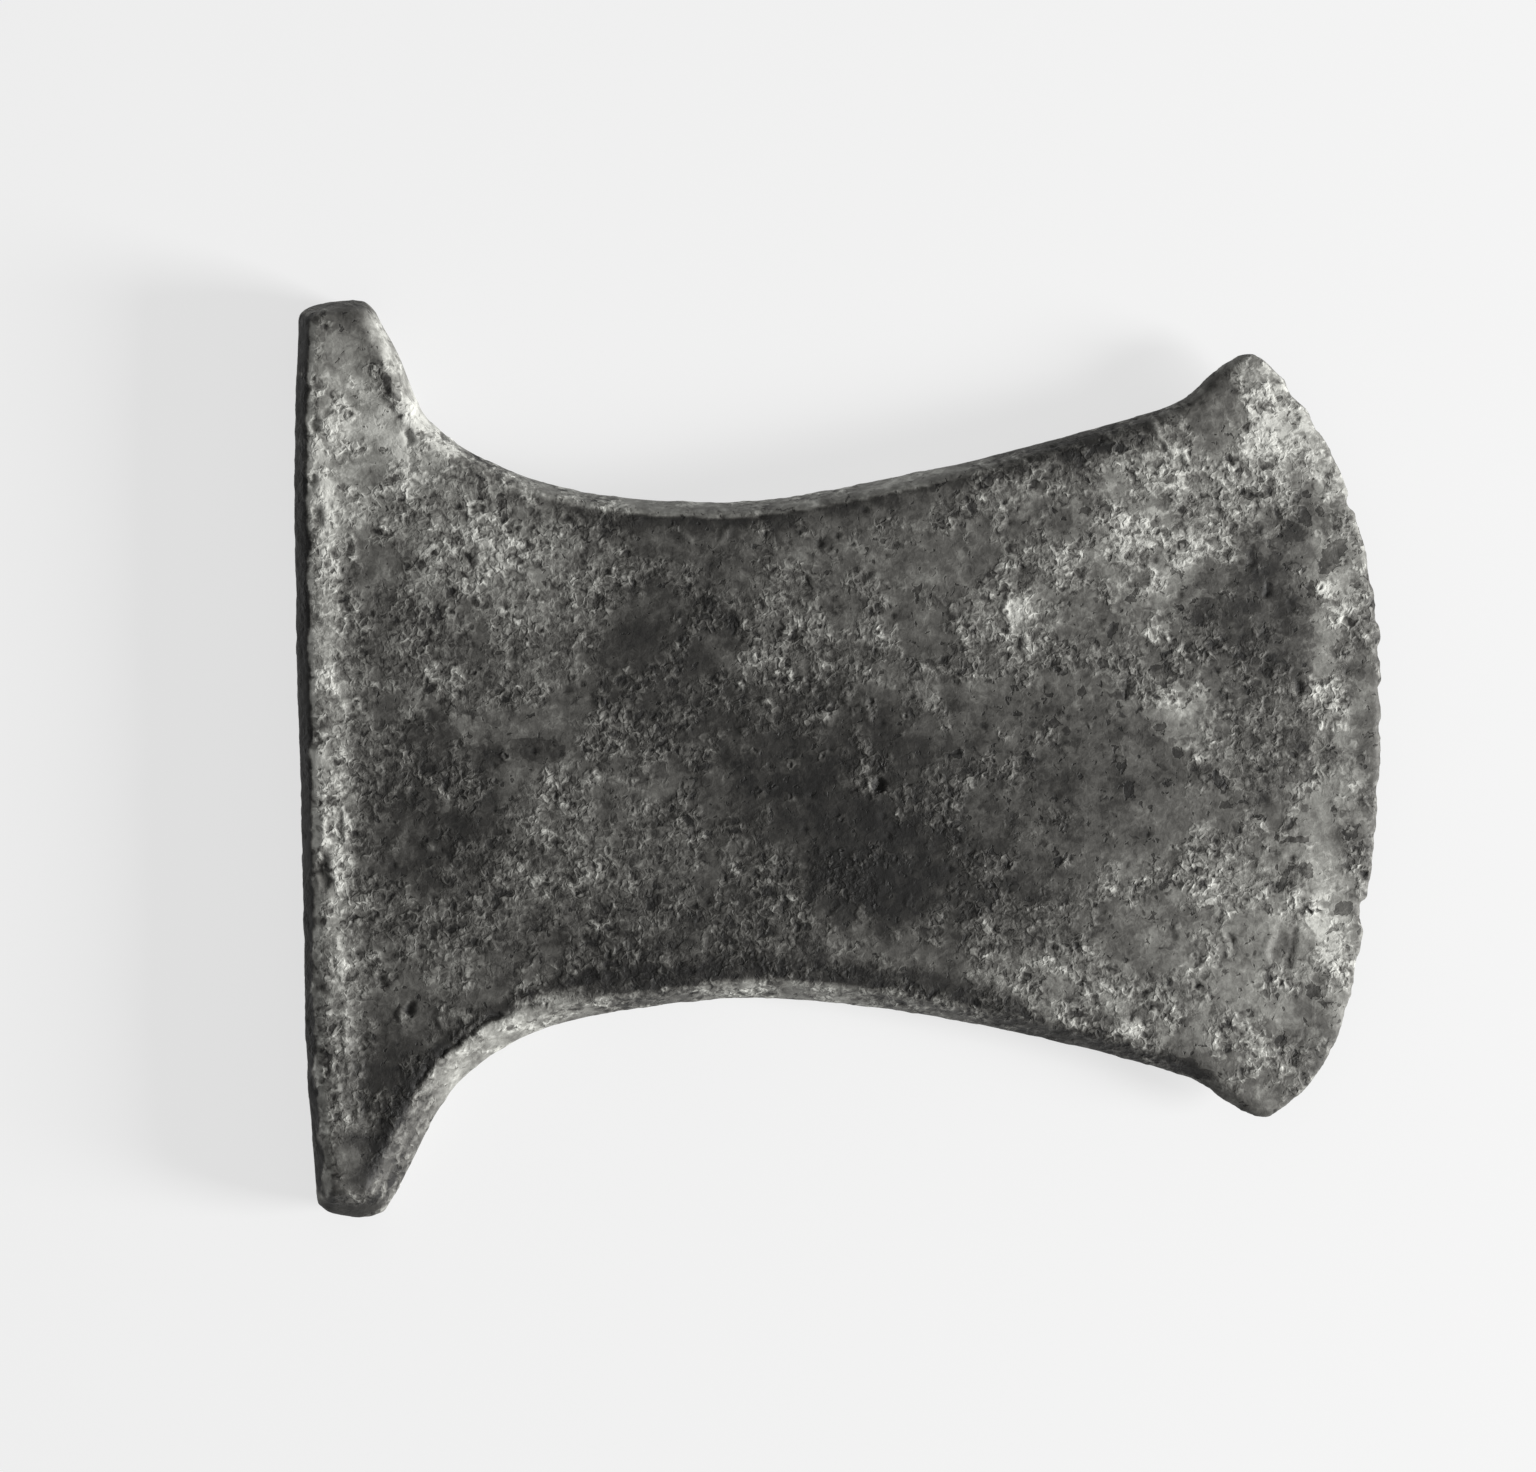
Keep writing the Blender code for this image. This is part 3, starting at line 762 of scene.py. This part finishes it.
def patches(tree, places, bent):
    """Pale patches, dark blotches and spots, all with ragged borders, and specks towards the cutting edge."""
    ragged = tree.product(tree.centred(tree.noise(bent, 0.55, 3.0, 0.6)), 2.2)
    frayed = tree.product(tree.centred(tree.noise(bent, 0.9, 2.0, 0.6)), 2.6)
    spots = tree.step(tree.math("ADD", tree.field("spot"), frayed), 0.33, 0.53)
    along = tree.add("ShaderNodeSeparateXYZ", {"Vector": places}).outputs["X"]
    groups = tree.step(tree.noise(places, 0.07, 2.0, 0.5), 0.42, 0.58)
    specks = tree.step(tree.noise(bent, 0.6, 2.0, 0.6), 0.62, 0.70)
    specks = tree.product(tree.step(along, 0.0, 30.0), groups, specks)
    return {
        "pale_patches": tree.step(tree.math("ADD", tree.field("pale"), ragged), 0.40, 0.62),
        "blotches": tree.step(tree.math("ADD", tree.field("blotch"), ragged), 0.42, 0.58),
        "spots": spots,
        "spots_and_specks": tree.math("MAXIMUM", specks, spots),
    }


def blisters(tree, places, bent, crust):
    """Burst blisters, one at most in a cell: a pit each, darkened with painted shade, and a raised rim with
    gaps round it, paler partly as pale crust and partly as a painted highlight.
    """
    inputs = {"Vector": bent, "Scale": BLISTERS_PER_MM}
    cell = tree.add("ShaderNodeTexVoronoi", inputs)
    walls = tree.add("ShaderNodeTexVoronoi", inputs, feature="DISTANCE_TO_EDGE")
    chances = tree.add("ShaderNodeSeparateColor", {"Color": cell.outputs["Color"]}).outputs
    radius = tree.math("ADD", 0.15, tree.product(chances["Green"], 0.17))
    reach = tree.math("DIVIDE", cell.outputs["Distance"], radius)
    there = tree.math("LESS_THAN", chances["Red"], tree.product(crust, BLISTER_SHARE))
    there = tree.product(there, tree.step(walls.outputs["Distance"], 0.0, 0.26))
    gaps = tree.step(tree.noise(places, 0.8, 1.0, 0.5), 0.38, 0.56)
    rim = tree.product(tree.step(reach, 0.1, 1.2), tree.step(reach, 2.4, 1.2), gaps)
    return {
        "blister_pits": tree.product(tree.step(reach, 1.0, 0.0), there),
        "blister_rims": tree.product(rim, there),
    }


def broken_crust(tree, places, bent, crust):
    """Crust in clumps: strands and crumbs, paler partly as pale crust and partly as a painted highlight, and
    dents between the strands, darkened with painted shade.
    """
    clumps = tree.step(tree.noise(places, 0.24, 2.0, 0.5), 0.40, 0.56)
    cover = tree.product(crust, tree.math("ADD", 0.35, tree.product(clumps, 0.75)))
    swing = tree.math("ABSOLUTE", tree.centred(tree.noise(bent, 0.52, 2.0, 0.6)))
    crumbs = tree.step(tree.noise(bent, 0.85, 1.0, 0.5), 0.54, 0.68)
    return {
        "strands": tree.product(cover, tree.step(swing, 0.08, 0.0)),
        "dents": tree.product(cover, tree.step(swing, 0.09, 0.19)),
        "crumbs": tree.product(cover, crumbs),
    }


def patina_material():
    material = bpy.data.materials.new("bronze_patina")
    tree = Tree(material)
    places = tree.add("ShaderNodeTexCoord").outputs["Object"]
    to_mm = (1 / MM, 1 / MM, 1 / MM)
    places = tree.add("ShaderNodeMapping", {"Vector": places, "Scale": to_mm}).outputs[0]
    bent = bent_places(tree, places)
    crust = tree.field("crust")
    grain = tree.noise(bent, 1.1, 3.0, 0.6)
    features = {
        "roughness": tree.product(tree.centred(grain), tree.math("ADD", 0.35, crust)),
        "mottle": tree.centred(tree.noise(bent, 0.32, 4.0, 0.72)),
        "hollows": tree.field("hollow"),
        **patches(tree, places, bent),
        **blisters(tree, places, bent, crust),
        **broken_crust(tree, places, bent, crust),
    }
    # the patina's tone, with the painted light and shade of the outline and of the raised crust
    value = tree.math("ADD", PATINA_BASE, tree.field("tone"))
    # the features' paleness and darkness, with painted shade in hollows, dents and blister pits
    value = tree.weighted(value, features, PALENESS_AND_PAINTED_SHADING)
    tree.put(tree.shader.inputs["Base Color"], tree.ramp(value, PATINA))

    height = tree.weighted(0.0, features, PROUDNESS)
    bump = tree.add("ShaderNodeBump", {"Height": height, "Distance": BUMP_HEIGHT})
    tree.put(tree.shader.inputs["Normal"], bump.outputs[0])
    shine = tree.product(grain, 0.35)
    tree.put(tree.shader.inputs["Roughness"], tree.math("SUBTRACT", 0.85, shine))
    tree.shader.inputs["Specular IOR Level"].default_value = 0.4
    return material


def floor_material():
    material = bpy.data.materials.new("white_paper")
    tree = Tree(material)
    tree.shader.inputs["Base Color"].default_value = FLOOR_COLOUR
    tree.shader.inputs["Emission Color"].default_value = (1.0, 1.0, 1.0, 1.0)
    tree.shader.inputs["Emission Strength"].default_value = FLOOR_GLOW
    tree.shader.inputs["Roughness"].default_value = 0.9
    tree.shader.inputs["Specular IOR Level"].default_value = 0.1
    return material


def add_floor():
    mesh = bpy.data.meshes.new("floor")
    bm = bmesh.new()
    bmesh.ops.create_grid(bm, x_segments=2, y_segments=2, size=FLOOR_SIZE / 2)
    bm.to_mesh(mesh)
    bm.free()
    floor = bpy.data.objects.new("floor", mesh)
    floor.data.materials.append(floor_material())
    bpy.context.scene.collection.objects.link(floor)


def add_camera():
    data = bpy.data.cameras.new("camera")
    data.sensor_width = SENSOR
    data.lens = SENSOR * CAMERA_HEIGHT / PICTURE_WIDTH
    camera = bpy.data.objects.new("camera", data)
    camera.location = (*PICTURE_CENTRE, CAMERA_HEIGHT)
    camera.rotation_euler = (0.0, 0.0, math.radians(PICTURE_TURN))
    bpy.context.scene.collection.objects.link(camera)
    bpy.context.scene.camera = camera


def add_light():
    data = bpy.data.lights.new("key", "AREA")
    data.size = KEY_SIZE
    data.energy = KEY_POWER
    key = bpy.data.objects.new("key", data)
    azimuth, elevation = math.radians(KEY_AZIMUTH), math.radians(KEY_ELEVATION)
    key.location = (
        KEY_DISTANCE * math.cos(elevation) * math.cos(azimuth),
        KEY_DISTANCE * math.cos(elevation) * math.sin(azimuth),
        KEY_DISTANCE * math.sin(elevation),
    )
    key.rotation_euler = (-key.location).to_track_quat("-Z", "Y").to_euler()
    bpy.context.scene.collection.objects.link(key)
    world = bpy.data.worlds.new("room")
    world.use_nodes = True
    background = world.node_tree.nodes["Background"]
    background.inputs["Color"].default_value = (1.0, 1.0, 1.0, 1.0)
    background.inputs["Strength"].default_value = ROOM_STRENGTH
    bpy.context.scene.world = world
    bpy.context.scene.view_settings.view_transform = "Standard"


clear_scene()
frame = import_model()

add_camera()
add_light()
add_floor()

blade = remeshed(frame["nodes"][NODE])
corrode(blade)
thin_back(blade)
blade.data.shade_smooth()
blade.data.materials.clear()
blade.data.materials.append(patina_material())
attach(blade, "root")
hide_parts(NODE)
